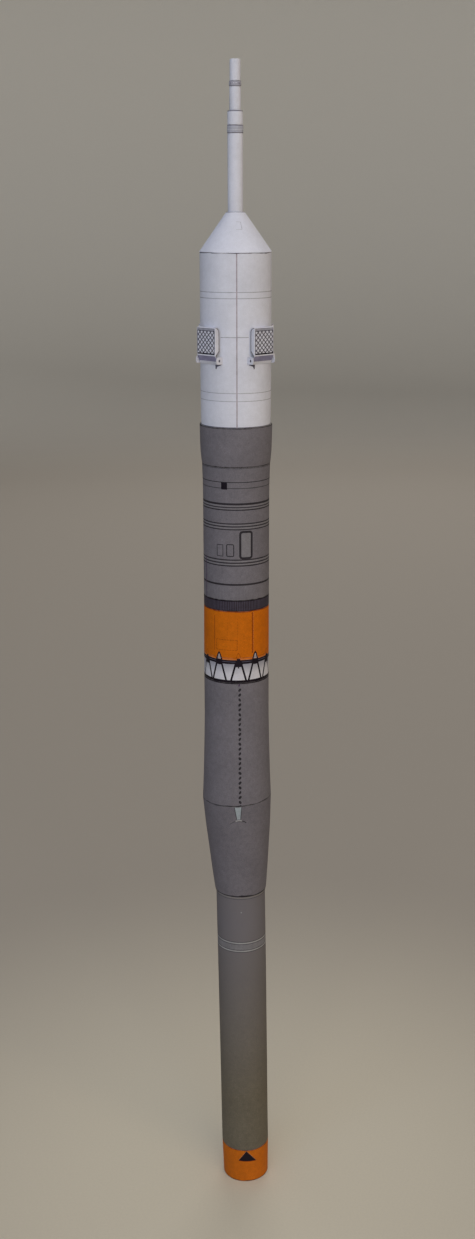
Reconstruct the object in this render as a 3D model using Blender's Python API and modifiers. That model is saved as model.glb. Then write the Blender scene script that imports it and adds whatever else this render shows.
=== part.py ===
"""Paper model of a three-stage space rocket with its escape tower, standing on its base.

Metres, +Z up, origin at the middle of the base. Heights are measured from the table, along the tubes.
"""
from math import pi, radians

import bmesh
import bpy
from mathutils import Matrix, Vector

MM = 0.001

# Card
CARD = 0.35 * MM
GAP = 0.3 * MM
TUBE_STEPS = 64
ROD_STEPS = 32
SHARP_ANGLE = radians(30)

# Heights of the joints, from the table up
BASE_TOP = 16.9 * MM
LOWER_TOP = 147.1 * MM
WAIST = 192.1 * MM
CORE_TOP = 248.1 * MM
TRUSS_TOP = 259.0 * MM
SKIRT_TOP = 279.5 * MM
FLUTES_TOP = 284.3 * MM
STAGE_TOP = 340.2 * MM
ADAPTER_TOP = 356.5 * MM
FAIRING_TOP = 425.4 * MM
CONE_TOP = 440.9 * MM
STRIPES_BOTTOM = 470.6 * MM
COLLAR_BOTTOM = 473.7 * MM
COLLAR_TOP = 479.1 * MM
NOZZLES_BOTTOM = 488.0 * MM
NOZZLES_TOP = 490.0 * MM
TIP_TOP = 498.1 * MM

# Radii of the outer faces
BASE_FOOT_R = 10.45 * MM
BASE_TOP_R = 10.85 * MM
LOWER_R = 10.92 * MM
WAIST_CONE_FOOT_R = 11.35 * MM
WAIST_R = 15.1 * MM
CORE_TOP_R = 13.95 * MM
SKIRT_R = 13.95 * MM
STAGE_R = 13.85 * MM
STAGE_TOP_R = 14.15 * MM
ADAPTER_FOOT_R = 14.2 * MM
ADAPTER_MOUTH_R = 15.0 * MM
FAIRING_R = 14.52 * MM
FAIRING_FOOT_R = 14.35 * MM
CONE_RIM_R = 14.8 * MM
CONE_TOP_R = 3.73 * MM
TOWER_R = 3.08 * MM
STRIPES_R = 3.2 * MM
COLLAR_R = 3.06 * MM
THRUSTER_R = 2.26 * MM
NOZZLES_R = 2.4 * MM
TIP_R = 2.14 * MM

# The core flares out over its last third, so these are its radii at heights above the waist
CORE_FLARE = ((38.0 * MM, 13.98 * MM), (25.0 * MM, 14.25 * MM), (12.0 * MM, 14.6 * MM), (4.0 * MM, 14.9 * MM))
# The cone under the waist bulges a little, so these are its radii at depths below the waist
WAIST_BULGE = ((13.0 * MM, 14.3 * MM), (22.0 * MM, 13.5 * MM), (32.0 * MM, 12.65 * MM), (42.0 * MM, 11.7 * MM))
# The stage and the adapter widen towards the fairing: (height, radius), from the top down
STAGE_FLARE = ((333.2 * MM, 13.95 * MM), (328.0 * MM, 13.85 * MM))
ADAPTER_FLARE = ((350.0 * MM, 14.9 * MM), (345.0 * MM, 14.7 * MM))
FAIRING_STRAIGHT_BOTTOM = 375.0 * MM

# The fairing's foot and the tower's foot go into the pieces that hold them
FAIRING_PLUG = 4.0 * MM
TOWER_PLUG = 3.4 * MM
BASE_DISC_THICKNESS = 1.0 * MM

# How far the hand-made stack is out of line, seen from the front
WAIST_SHIFT = -0.95 * MM
WAIST_TILT = radians(-1.6)
STACK_LEAN = radians(0.86)

# Grid fins
FIN_COUNT = 4
FIN_FIRST_AZIMUTH = radians(43.5)
FIN_WIDTH = 10.8 * MM
FIN_BOTTOM = 385.4 * MM
FIN_TOP = 396.4 * MM
FIN_FACE_R = 16.5 * MM
FIN_LIP_BOTTOM = 382.1 * MM
FIN_BACK_CUT = 0.5 * MM
EAR_THICKNESS = 0.5 * MM
EAR_BOTTOM = 382.0 * MM
EAR_TOP = 384.9 * MM
EAR_BACK_R = 13.75 * MM
EAR_CUT = 0.8 * MM

# Colours of the printed card, and its finish
WHITE = (0.80, 0.80, 0.83)
GREY = (0.20, 0.195, 0.205)
DARK_GREY = (0.045, 0.042, 0.05)
ORANGE = (0.80, 0.20, 0.015)
PALE_GREY = (0.55, 0.55, 0.58)
BOARD = (0.60, 0.55, 0.47)
CARD_ROUGHNESS = 0.75


def clear_scene():
    for obj in list(bpy.data.objects):
        bpy.data.objects.remove(obj, do_unlink=True)


def card_material(name, colour):
    material = bpy.data.materials.new(name + "_Card")
    material.use_nodes = True
    shader = material.node_tree.nodes["Principled BSDF"]
    shader.inputs["Base Color"].default_value = (*colour, 1.0)
    shader.inputs["Roughness"].default_value = CARD_ROUGHNESS
    shader.inputs["Metallic"].default_value = 0.0
    return material


def place(name, mesh, colour, collection, parent=None, location=(0.0, 0.0, 0.0)):
    """Put a mesh in the collection as a named piece with its own card."""
    mesh.materials.clear()
    mesh.materials.append(card_material(name, colour))
    obj = bpy.data.objects.new(name, mesh)
    collection.objects.link(obj)
    obj.location = location
    obj.parent = parent
    return obj


def turned_mesh(name, profile, steps):
    """Turn a profile of (radius, height) points, which runs down its outer side, about the Z axis."""
    outline = bpy.data.meshes.new(name + "_Profile")
    points = [(radius, 0.0, height) for radius, height in profile]
    last = len(points) - 1
    edges = [(index, index + 1) for index in range(last)]
    if profile[0][0] > 0.0:
        edges.append((last, 0))
    outline.from_pydata(points, edges, [])
    turner = bpy.data.objects.new(name + "_Profile", outline)
    bpy.context.scene.collection.objects.link(turner)
    screw = turner.modifiers.new("Turn", "SCREW")
    screw.steps = steps
    screw.render_steps = steps
    screw.use_merge_vertices = True
    screw.merge_threshold = 0.00001
    depsgraph = bpy.context.evaluated_depsgraph_get()
    mesh = bpy.data.meshes.new_from_object(turner.evaluated_get(depsgraph))
    mesh.name = name
    bpy.data.objects.remove(turner, do_unlink=True)
    mesh.shade_smooth()
    mesh.set_sharp_from_angle(angle=SHARP_ANGLE)
    return mesh


def tube_profile(outer, wall=CARD):
    """Outer face of a rolled tube, top to bottom, closed by its inner face one card further in."""
    inner = [(radius - wall, height) for radius, height in reversed(outer)]
    return outer + inner


def rod_profile(radius, bottom, top):
    """A tightly rolled rod, from its top's middle to its foot's middle."""
    return [(0.0, top), (radius, top), (radius, bottom), (0.0, bottom)]


def flat_frame(height):
    return Matrix.Translation((0.0, 0.0, height))


def waist_frame():
    """Plane of the joint at the waist: out of line and out of level."""
    return Matrix.Translation((WAIST_SHIFT, 0.0, WAIST)) @ Matrix.Rotation(WAIST_TILT, 4, "Y")


def stack_frame(height=0.0):
    """Plane across the upper stack, which leans from the waist up."""
    lean = Matrix.Rotation(STACK_LEAN, 4, "Y")
    return Matrix.Translation((WAIST_SHIFT, 0.0, WAIST)) @ lean @ Matrix.Translation((0.0, 0.0, height - WAIST))


def skew_between(mesh, low_frame, high_frame, low, high):
    """Carry a straight turned mesh, drawn between two heights, to run between two planes."""
    for vertex in mesh.vertices:
        x, y, z = vertex.co
        share = (z - low) / (high - low)
        foot = low_frame @ Vector((x, y, 0.0))
        head = high_frame @ Vector((x, y, 0.0))
        vertex.co = foot.lerp(head, share)


def base(collection):
    outer = [(BASE_TOP_R, BASE_TOP), (BASE_FOOT_R, 0.0)]
    place("Base_Tube", turned_mesh("Base_Tube", tube_profile(outer), TUBE_STEPS), ORANGE, collection)
    disc = rod_profile(BASE_FOOT_R - CARD - GAP, 0.0, BASE_DISC_THICKNESS)
    place("Base_Disc", turned_mesh("Base_Disc", disc, TUBE_STEPS), BOARD, collection)


def lower_core(collection):
    outer = [(LOWER_R, LOWER_TOP), (BASE_TOP_R, BASE_TOP)]
    place("Core_Lower_Tube", turned_mesh("Core_Lower_Tube", tube_profile(outer), TUBE_STEPS), GREY, collection)


def waist(collection):
    bulge = [(radius, WAIST - depth) for depth, radius in WAIST_BULGE]
    outer = [(WAIST_R, WAIST), *bulge, (WAIST_CONE_FOOT_R, LOWER_TOP)]
    cone = turned_mesh("Waist_Cone", tube_profile(outer), TUBE_STEPS)
    skew_between(cone, flat_frame(LOWER_TOP), waist_frame(), LOWER_TOP, WAIST)
    place("Waist_Cone", cone, GREY, collection)


def upper_core(collection):
    flare = [(radius, WAIST + rise) for rise, radius in CORE_FLARE]
    outer = [(CORE_TOP_R, CORE_TOP), *flare, (WAIST_R, WAIST)]
    tube = turned_mesh("Core_Upper_Tube", tube_profile(outer), TUBE_STEPS)
    skew_between(tube, waist_frame(), stack_frame(CORE_TOP), WAIST, CORE_TOP)
    place("Core_Upper_Tube", tube, GREY, collection)


def stacked_tubes(collection, stack):
    """The straight tubes from the truss band to the fairing, end on end."""
    stage_flare = [(radius, height) for height, radius in STAGE_FLARE]
    adapter_flare = [(radius, height) for height, radius in ADAPTER_FLARE]
    plug_foot = ADAPTER_TOP - FAIRING_PLUG
    tubes = {
        "Truss_Band": (WHITE, [(SKIRT_R, TRUSS_TOP), (CORE_TOP_R, CORE_TOP)]),
        "Orange_Skirt": (ORANGE, [(STAGE_R, SKIRT_TOP), (SKIRT_R, TRUSS_TOP)]),
        "Fluted_Band": (DARK_GREY, [(STAGE_R, FLUTES_TOP), (STAGE_R, SKIRT_TOP)]),
        "Third_Stage": (GREY, [(STAGE_TOP_R, STAGE_TOP), *stage_flare, (STAGE_R, FLUTES_TOP)]),
        "Adapter": (GREY, [(ADAPTER_MOUTH_R, ADAPTER_TOP), *adapter_flare, (ADAPTER_FOOT_R, STAGE_TOP)]),
        "Fairing_Tube": (WHITE, [(FAIRING_R, FAIRING_TOP), (FAIRING_R, FAIRING_STRAIGHT_BOTTOM),
                                 (FAIRING_FOOT_R, ADAPTER_TOP), (FAIRING_FOOT_R, plug_foot)]),
    }
    for name, (colour, outer) in tubes.items():
        place(name, turned_mesh(name, tube_profile(outer), TUBE_STEPS), colour, collection, stack)


def fairing_cone(collection, stack):
    """The cone's rim stands a little past the tube, and its top leaves a hole for the tower."""
    hole = TOWER_R + GAP
    slope = (CONE_RIM_R - CONE_TOP_R) / (CONE_TOP - FAIRING_TOP)
    rim_inner = FAIRING_R - 2 * CARD
    hole_drop = CARD
    inner_top = CONE_TOP - hole_drop - CARD / slope
    profile = [
        (CONE_TOP_R, CONE_TOP),
        (CONE_RIM_R, FAIRING_TOP),
        (rim_inner, FAIRING_TOP),
        (hole, inner_top),
        (hole, CONE_TOP),
    ]
    place("Fairing_Cone", turned_mesh("Fairing_Cone", profile, TUBE_STEPS), WHITE, collection, stack)


def escape_tower(collection, stack):
    """Rolled rods and wrapped bands, end on end, the lowest one set into the cone."""
    rods = {
        "Tower_Tube": (WHITE, TOWER_R, CONE_TOP - TOWER_PLUG, STRIPES_BOTTOM),
        "Tower_Striped_Band": (PALE_GREY, STRIPES_R, STRIPES_BOTTOM, COLLAR_BOTTOM),
        "Tower_Collar": (WHITE, COLLAR_R, COLLAR_BOTTOM, COLLAR_TOP),
        "Tower_Upper_Tube": (WHITE, THRUSTER_R, COLLAR_TOP, NOZZLES_BOTTOM),
        "Tower_Nozzle_Band": (PALE_GREY, NOZZLES_R, NOZZLES_BOTTOM, NOZZLES_TOP),
        "Tower_Tip": (WHITE, TIP_R, NOZZLES_TOP, TIP_TOP),
    }
    for name, (colour, radius, bottom, top) in rods.items():
        mesh = turned_mesh(name, rod_profile(radius, bottom, top), ROD_STEPS)
        place(name, mesh, colour, collection, stack)


def prism(name, outline, near, far):
    """Extrude an outline of (radius, height) points along Y, between two places."""
    mesh = bpy.data.meshes.new(name)
    shape = bmesh.new()
    corners = [shape.verts.new((radius, near, height)) for radius, height in outline]
    face = shape.faces.new(corners)
    grown = bmesh.ops.extrude_face_region(shape, geom=[face])["geom"]
    moved = [item for item in grown if isinstance(item, bmesh.types.BMVert)]
    bmesh.ops.translate(shape, verts=moved, vec=(0.0, far - near, 0.0))
    bmesh.ops.recalc_face_normals(shape, faces=shape.faces)
    shape.to_mesh(mesh)
    shape.free()
    return mesh


def grid_fins(collection, stack):
    """Four folded grid fins on the fairing, each with the two ears that its hinge sits in."""
    back = FAIRING_R + GAP
    half = FIN_WIDTH / 2
    fin_outline = [
        (back, FIN_TOP - FIN_BACK_CUT),
        (back + FIN_BACK_CUT, FIN_TOP),
        (FIN_FACE_R, FIN_TOP),
        (FIN_FACE_R, FIN_BOTTOM),
        (back, FIN_LIP_BOTTOM),
    ]
    ear_outline = [
        (EAR_BACK_R, EAR_TOP),
        (FIN_FACE_R - EAR_CUT, EAR_TOP),
        (FIN_FACE_R, EAR_TOP - EAR_CUT),
        (FIN_FACE_R, EAR_BOTTOM + EAR_CUT),
        (FIN_FACE_R - EAR_CUT, EAR_BOTTOM),
        (EAR_BACK_R, EAR_BOTTOM),
    ]
    for number in range(FIN_COUNT):
        seat = bpy.data.objects.new(f"Fin_Seat_{number + 1}", None)
        collection.objects.link(seat)
        seat.parent = stack
        seat.rotation_euler.z = FIN_FIRST_AZIMUTH - pi / 2 + number * 2 * pi / FIN_COUNT
        fin = f"Grid_Fin_{number + 1}"
        place(fin, prism(fin, fin_outline, -half, half), WHITE, collection, seat)
        for side, sign in (("A", -1), ("B", 1)):
            ear = f"Fin_Ear_{number + 1}{side}"
            near = sign * (half + GAP)
            mesh = prism(ear, ear_outline, near, near + sign * EAR_THICKNESS)
            place(ear, mesh, WHITE, collection, seat)


def build():
    clear_scene()
    collection = bpy.data.collections.new("Paper_Rocket")
    bpy.context.scene.collection.children.link(collection)
    stack = bpy.data.objects.new("Upper_Stack", None)
    collection.objects.link(stack)
    stack.matrix_world = stack_frame()
    base(collection)
    lower_core(collection)
    waist(collection)
    upper_core(collection)
    stacked_tubes(collection, stack)
    fairing_cone(collection, stack)
    grid_fins(collection, stack)
    escape_tower(collection, stack)


build()
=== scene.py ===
from math import atan2, cos, exp, pi, radians, sin

import bmesh
import bpy
import numpy as np
from mathutils import Matrix, Vector
from mathutils.geometry import delaunay_2d_cdt


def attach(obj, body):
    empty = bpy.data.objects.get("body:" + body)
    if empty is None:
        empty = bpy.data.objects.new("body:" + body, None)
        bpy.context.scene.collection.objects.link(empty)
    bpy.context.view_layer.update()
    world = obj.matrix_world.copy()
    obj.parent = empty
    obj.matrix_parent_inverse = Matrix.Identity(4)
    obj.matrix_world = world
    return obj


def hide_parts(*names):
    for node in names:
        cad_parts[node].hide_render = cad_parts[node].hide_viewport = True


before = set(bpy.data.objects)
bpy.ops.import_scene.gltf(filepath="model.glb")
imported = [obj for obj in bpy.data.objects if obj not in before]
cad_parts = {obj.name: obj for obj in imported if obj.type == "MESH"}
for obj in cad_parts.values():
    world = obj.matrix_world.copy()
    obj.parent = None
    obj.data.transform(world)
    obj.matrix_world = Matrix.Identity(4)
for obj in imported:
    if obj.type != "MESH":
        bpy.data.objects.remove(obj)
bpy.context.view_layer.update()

mm = 0.001  # everything below is worked out in millimetres and turned into metres in the mesh

# Azimuths are degrees from the front, rising towards the right-hand side; heights run up along the model.
card = {
    "thickness": 0.35,
    "columns": 96,       # upright divisions of a rolled sheet
    "rowHeight": 6.0,
    "crack": 0.10,       # gap left at a glued butt joint
    "tuck": 0.07,        # how far a cut rim is rubbed in
    "wobble": 0.035,     # unevenness of a tube rolled by hand
    "cutWave": 0.06,     # how far a hand cut runs off its line
    "seamLift": 0.10,    # how far the upper edge of the back seam stands up
    "wornWidth": 0.20,   # width of the rubbed edge along a cut
}


# paper and inks

inks = {
    "greyCard": {"colour": (0.184, 0.171, 0.194), "mottle": 0.08, "grain": 0.15, "smudge": 0.06, "rough": 0.66},
    "lowerCard": {"colour": (0.146, 0.127, 0.096), "mottle": 0.08, "grain": 0.15, "smudge": 0.06, "rough": 0.66,
                  "fadeTo": (0.175, 0.162, 0.176), "fadeFrom": (28.0, 115.0)},   # darker and browner towards its foot: painted shade where the light falls off downwards
    # the grey card made darker for the waist cone: painted shade, as the light falls off downwards
    "coneCardShaded": {"colour": (0.169, 0.157, 0.180), "mottle": 0.08, "grain": 0.15, "smudge": 0.06, "rough": 0.66},
    "whiteCard": {"colour": (0.735, 0.745, 0.845), "mottle": 0.03, "grain": 0.03, "smudge": 0.05, "rough": 0.72},
    "orangeCard": {"colour": (0.615, 0.153, 0.005), "mottle": 0.07, "grain": 0.10, "smudge": 0.05, "rough": 0.66,
                   "shine": 0.08},
    "footOrange": {"colour": (0.530, 0.136, 0.009), "mottle": 0.07, "grain": 0.10, "smudge": 0.05, "rough": 0.66,
                   "shine": 0.08},
    "darkCard": {"colour": (0.038, 0.028, 0.038), "mottle": 0.12, "grain": 0.12, "smudge": 0.06, "rough": 0.60},
    "trussCard": {"colour": (0.660, 0.650, 0.710), "mottle": 0.06, "grain": 0.05, "smudge": 0.05, "rough": 0.68,
                  "fadeTo": (0.330, 0.325, 0.390), "fadeFrom": (4.0, 8.6)},
    "finCard": {"colour": (0.700, 0.705, 0.800), "mottle": 0.05, "grain": 0.05, "smudge": 0.05, "rough": 0.70},
    "bandCard": {"colour": (0.480, 0.490, 0.570), "mottle": 0.06, "grain": 0.05, "smudge": 0.05, "rough": 0.68},
    "nozzleCard": {"colour": (0.400, 0.395, 0.465), "mottle": 0.10, "grain": 0.05, "smudge": 0.05, "rough": 0.68},
    "blackInk": {"colour": (0.011, 0.007, 0.013), "mottle": 0.25, "grain": 0.20, "smudge": 0.10, "rough": 0.58},
    "darkLine": {"colour": (0.030, 0.026, 0.032), "mottle": 0.18, "grain": 0.15, "smudge": 0.10, "rough": 0.60},
    "softLine": {"colour": (0.084, 0.078, 0.088), "mottle": 0.15, "grain": 0.12, "smudge": 0.10, "rough": 0.62},
    "lightGrey": {"colour": (0.222, 0.212, 0.230), "mottle": 0.08, "grain": 0.12, "smudge": 0.06, "rough": 0.66},
    "warmLight": {"colour": (0.275, 0.255, 0.240), "mottle": 0.10, "grain": 0.10, "smudge": 0.06, "rough": 0.66},
    "paleBand": {"colour": (0.375, 0.375, 0.380), "mottle": 0.10, "grain": 0.08, "smudge": 0.07, "rough": 0.66},
    "blueGrey": {"colour": (0.210, 0.204, 0.220), "mottle": 0.10, "grain": 0.12, "smudge": 0.07, "rough": 0.64},
    "paleGreen": {"colour": (0.350, 0.395, 0.430), "mottle": 0.12, "grain": 0.08, "smudge": 0.07, "rough": 0.66},
    "redLine": {"colour": (0.300, 0.056, 0.006), "mottle": 0.15, "grain": 0.10, "smudge": 0.07, "rough": 0.64,
                "shine": 0.08},
    "brownLine": {"colour": (0.400, 0.085, 0.004), "mottle": 0.15, "grain": 0.10, "smudge": 0.07, "rough": 0.64,
                  "shine": 0.08},
    "footLine": {"colour": (0.110, 0.040, 0.010), "mottle": 0.15, "grain": 0.10, "smudge": 0.07, "rough": 0.64,
                 "shine": 0.08},
    "pinkEdge": {"colour": (0.560, 0.220, 0.100), "mottle": 0.10, "grain": 0.08, "smudge": 0.07, "rough": 0.66,
                 "shine": 0.10},
    "purpleTick": {"colour": (0.080, 0.048, 0.098), "mottle": 0.15, "grain": 0.10, "smudge": 0.07, "rough": 0.62},
    "archPaper": {"colour": (0.420, 0.370, 0.400), "mottle": 0.10, "grain": 0.08, "smudge": 0.07, "rough": 0.66},
    "lilacLine": {"colour": (0.430, 0.370, 0.430), "mottle": 0.12, "grain": 0.06, "smudge": 0.05, "rough": 0.68},
    "greyLine": {"colour": (0.370, 0.370, 0.435), "mottle": 0.12, "grain": 0.06, "smudge": 0.05, "rough": 0.68},
    "midLine": {"colour": (0.240, 0.235, 0.295), "mottle": 0.12, "grain": 0.06, "smudge": 0.05, "rough": 0.68},
    "faintLine": {"colour": (0.560, 0.565, 0.630), "mottle": 0.12, "grain": 0.06, "smudge": 0.05, "rough": 0.70},
    "shadeBlue": {"colour": (0.270, 0.260, 0.390), "mottle": 0.14, "grain": 0.08, "smudge": 0.07, "rough": 0.64},
    "violetShade": {"colour": (0.105, 0.098, 0.140), "mottle": 0.14, "grain": 0.08, "smudge": 0.07, "rough": 0.64},
    "fluteBlue": {"colour": (0.078, 0.070, 0.104), "mottle": 0.14, "grain": 0.10, "smudge": 0.05, "rough": 0.60},
    "latticeInk": {"colour": (0.072, 0.067, 0.100), "mottle": 0.18, "grain": 0.10, "smudge": 0.05, "rough": 0.60},
    "rawCard": {"colour": (0.700, 0.685, 0.650), "mottle": 0.05, "grain": 0.07, "smudge": 0.03, "rough": 0.85},
    "boardCard": {"colour": (0.560, 0.500, 0.410), "mottle": 0.10, "grain": 0.18, "smudge": 0.10, "rough": 0.88},
}

paper = {
    "wornColour": (0.62, 0.60, 0.57),
    "smudgeScale": 70.0,
    "mottleScale": 520.0,
    "grainScale": 2600.0,
    "fibreScale": 5200.0,
    "fibreDepth": 0.016,   # mm
    "fibreStrength": 0.55,
    "specular": 0.15,
    "wear": 0.14,          # how much of the worn colour the most rubbed edge shows
}

madeInks = {}


def noiseNode(tree, coordinates, scale, detail):
    node = tree.nodes.new("ShaderNodeTexNoise")
    node.inputs["Scale"].default_value = scale
    node.inputs["Detail"].default_value = detail
    tree.links.new(coordinates, node.inputs["Vector"])
    return node.outputs["Fac"]


def mapTo(tree, value, low, high, newLow, newHigh):
    node = tree.nodes.new("ShaderNodeMapRange")
    node.inputs["From Min"].default_value = low
    node.inputs["From Max"].default_value = high
    node.inputs["To Min"].default_value = newLow
    node.inputs["To Max"].default_value = newHigh
    tree.links.new(value, node.inputs["Value"])
    return node.outputs["Result"]


def multiply(tree, first, second):
    node = tree.nodes.new("ShaderNodeMath")
    node.operation = "MULTIPLY"
    tree.links.new(first, node.inputs[0])
    tree.links.new(second, node.inputs[1])
    return node.outputs[0]


def mixColours(tree, share, first, second):
    node = tree.nodes.new("ShaderNodeMix")
    node.data_type = "RGBA"
    tree.links.new(share, node.inputs["Factor"])
    for socket, colour in ((node.inputs["A"], first), (node.inputs["B"], second)):
        if isinstance(colour, tuple):
            socket.default_value = (*colour, 1.0)
        else:
            tree.links.new(colour, socket)
    return node.outputs["Result"]


def inkMaterial(name):
    if name in madeInks:
        return madeInks[name]
    look = inks[name]
    material = bpy.data.materials.new(name)
    material.use_nodes = True
    tree = material.node_tree
    shader = tree.nodes["Principled BSDF"]
    coordinates = tree.nodes.new("ShaderNodeTexCoord").outputs["Object"]
    smudge = noiseNode(tree, coordinates, paper["smudgeScale"], 3.0)
    mottle = noiseNode(tree, coordinates, paper["mottleScale"], 3.0)
    grain = noiseNode(tree, coordinates, paper["grainScale"], 2.0)
    fibre = noiseNode(tree, coordinates, paper["fibreScale"], 4.0)

    # the ink's brightness, uneven at three scales
    shades = []
    for value, depth in ((smudge, look["smudge"]), (mottle, look["mottle"]), (grain, look["grain"])):
        shades.append(mapTo(tree, value, 0.30, 0.70, 1.0 - depth, 1.0 + depth))
    brightness = multiply(tree, multiply(tree, shades[0], shades[1]), shades[2])
    tint = tree.nodes.new("ShaderNodeVectorMath")
    tint.operation = "SCALE"
    tint.inputs[0].default_value = look["colour"]
    tree.links.new(brightness, tint.inputs["Scale"])
    colour = tint.outputs["Vector"]

    # a tone that runs up the sheet
    if "fadeTo" in look:
        place = tree.nodes.new("ShaderNodeAttribute")
        place.attribute_name = "sheet"
        split = tree.nodes.new("ShaderNodeSeparateXYZ")
        tree.links.new(place.outputs["Vector"], split.inputs["Vector"])
        low, high = look["fadeFrom"]
        colour = mixColours(tree, mapTo(tree, split.outputs["Y"], low, high, 0.0, 1.0), colour, look["fadeTo"])

    # edges rubbed back to the paper, in patches
    worn = tree.nodes.new("ShaderNodeAttribute")
    worn.attribute_name = "worn"
    patches = mapTo(tree, mottle, 0.40, 0.65, 0.0, paper["wear"])
    colour = mixColours(tree, multiply(tree, worn.outputs["Fac"], patches), colour, paper["wornColour"])
    tree.links.new(colour, shader.inputs["Base Color"])

    roughness = mapTo(tree, mottle, 0.3, 0.7, look["rough"] - 0.06, look["rough"] + 0.06)
    tree.links.new(roughness, shader.inputs["Roughness"])
    shader.inputs["Specular IOR Level"].default_value = look.get("shine", paper["specular"])
    bump = tree.nodes.new("ShaderNodeBump")
    bump.inputs["Strength"].default_value = paper["fibreStrength"]
    bump.inputs["Distance"].default_value = paper["fibreDepth"] * mm
    tree.links.new(fibre, bump.inputs["Height"])
    tree.links.new(bump.outputs["Normal"], shader.inputs["Normal"])
    madeInks[name] = material
    return material


# reading the forms of the solids

def nodePoints(node):
    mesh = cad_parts[node].data
    points = np.array([vertex.co[:] for vertex in mesh.vertices]) / mm
    return np.unique(points.round(4), axis=0)


def endPlane(points, atTop):
    heights = points[:, 2]
    near = points[heights > heights.max() - 1.0] if atTop else points[heights < heights.min() + 1.0]
    centre = near.mean(axis=0)
    normal = Vector(np.linalg.svd(near - centre)[2][2])
    if normal.z < 0.0:
        normal.negate()
    turn = Vector((0.0, 0.0, 1.0)).rotation_difference(normal).to_matrix().to_4x4()
    return Matrix.Translation(centre) @ turn


def toLocal(plane, points):
    turned = np.array(plane.inverted())
    return points @ turned[:3, :3].T + turned[:3, 3]


waistPlane = endPlane(nodePoints("Waist_Cone"), True)


def heightAlong(centre):
    waist = waistPlane.translation
    return centre.z if centre.z < waist.z - 0.01 else waist.z + (centre - waist).length


def readForm(node, skewed=False):
    # the planes of a tube's foot and head, and its outer radius at each share of the way up
    points = nodePoints(node)
    foot = endPlane(points, False)
    if skewed:
        head = endPlane(points, True)
    else:
        head = foot @ Matrix.Translation((0.0, 0.0, toLocal(foot, points)[:, 2].max()))
    below = toLocal(foot, points)[:, 2]
    above = -toLocal(head, points)[:, 2]
    shares = below / (below + above)
    start, end = np.array(foot.translation), np.array(head.translation)
    radii = np.linalg.norm(points - (start + shares[:, None] * (end - start)), axis=1)
    rings = []
    for index in np.argsort(shares):
        if not rings or shares[index] - rings[-1][0] > 0.004:
            rings.append([shares[index], 0.0])
        rings[-1][1] = max(rings[-1][1], radii[index])
    rings[-1][0] = 1.0
    low, high = rings[0][1], rings[-1][1]
    rings = [ring for ring in rings if ring[1] > low + (high - low) * ring[0] - 0.7]
    length = (head.translation - foot.translation).length
    return {
        "foot": foot,
        "head": head,
        "length": length,
        "at": heightAlong(foot.translation),
        "shares": np.array([ring[0] for ring in rings]),
        "radii": np.array([ring[1] for ring in rings]),
    }


# cutting and printing a flat sheet

def clipped(shape, left, right, low, high):
    # cut a polygon down to a rectangle
    for axis, limit, sign in ((0, left, 1), (0, right, -1), (1, low, 1), (1, high, -1)):
        kept = []
        for here, after in zip(shape, shape[1:] + shape[:1]):
            inHere = (here[axis] - limit) * sign >= 0.0
            inAfter = (after[axis] - limit) * sign >= 0.0
            if inHere:
                kept.append(here)
            if inHere != inAfter:
                share = (limit - here[axis]) / (after[axis] - here[axis])
                kept.append(tuple(here[side] + share * (after[side] - here[side]) for side in (0, 1)))
        shape = kept
        if len(shape) < 3:
            return []
    return shape


def inside(points, shape):
    # which of the points lie within a closed shape
    found = np.zeros(len(points), bool)
    for start, end in zip(shape, shape[1:] + shape[:1]):
        if start[1] == end[1]:
            continue
        crossed = (points[:, 1] < start[1]) != (points[:, 1] < end[1])
        reach = start[0] + (points[:, 1] - start[1]) * (end[0] - start[0]) / (end[1] - start[1])
        found ^= crossed & (points[:, 0] < reach)
    return found


def bar(ink, left, right, low, high):
    return (ink, [(left, low), (right, low), (right, high), (left, high)])


def stroke(ink, path, width, closed=False):
    # a pen line along a path, one four-sided mark for each stretch, mitred where they meet
    path = [Vector(point) for point in path]
    count = len(path)
    offsets = []
    for index, point in enumerate(path):
        before = path[index - 1] if closed or index > 0 else None
        after = path[(index + 1) % count] if closed or index < count - 1 else None
        incoming = (point - before).normalized() if before is not None else (after - point).normalized()
        outgoing = (after - point).normalized() if after is not None else incoming
        mitre = Vector((-incoming.y - outgoing.y, incoming.x + outgoing.x))
        mitre.normalize()
        spread = max(mitre.dot(Vector((-incoming.y, incoming.x))), 0.5)
        offsets.append(mitre * (width / 2.0 / spread))
    marks = []
    for index in range(count if closed else count - 1):
        after = (index + 1) % count
        corners = [path[index] - offsets[index], path[after] - offsets[after],
                   path[after] + offsets[after], path[index] + offsets[index]]
        marks.append((ink, [tuple(corner) for corner in corners]))
    return marks


def roundedBox(left, right, low, high, radius, steps=4):
    path = []
    for centreX, centreY, start in ((right - radius, low + radius, -90), (right - radius, high - radius, 0),
                                    (left + radius, high - radius, 90), (left + radius, low + radius, 180)):
        for step in range(steps + 1):
            angle = radians(start + 90.0 * step / steps)
            path.append((centreX + radius * cos(angle), centreY + radius * sin(angle)))
    return path


def blob(ink, x, y, width, height, slant=0.0, steps=10):
    shape = []
    for step in range(steps):
        angle = 2.0 * pi * step / steps
        shape.append((x + width / 2.0 * cos(angle) + slant * sin(angle), y + height / 2.0 * sin(angle)))
    return (ink, shape)


def edgeDistance(points, outline):
    nearest = np.full(len(points), 1e9)
    for start, end in zip(outline, outline[1:] + outline[:1]):
        start, along = np.array(start), np.array(end) - np.array(start)
        share = np.clip((points - start) @ along / (along @ along), 0.0, 1.0)
        nearest = np.minimum(nearest, np.linalg.norm(points - start - share[:, None] * along, axis=1))
    return nearest


def gridLines(columns, rows):
    points = [(x, y) for x in columns for y in rows]
    count = len(rows)
    edges = [(column * count + row, column * count + row + 1)
             for column in range(len(columns)) for row in range(count - 1)]
    return points, edges


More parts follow.
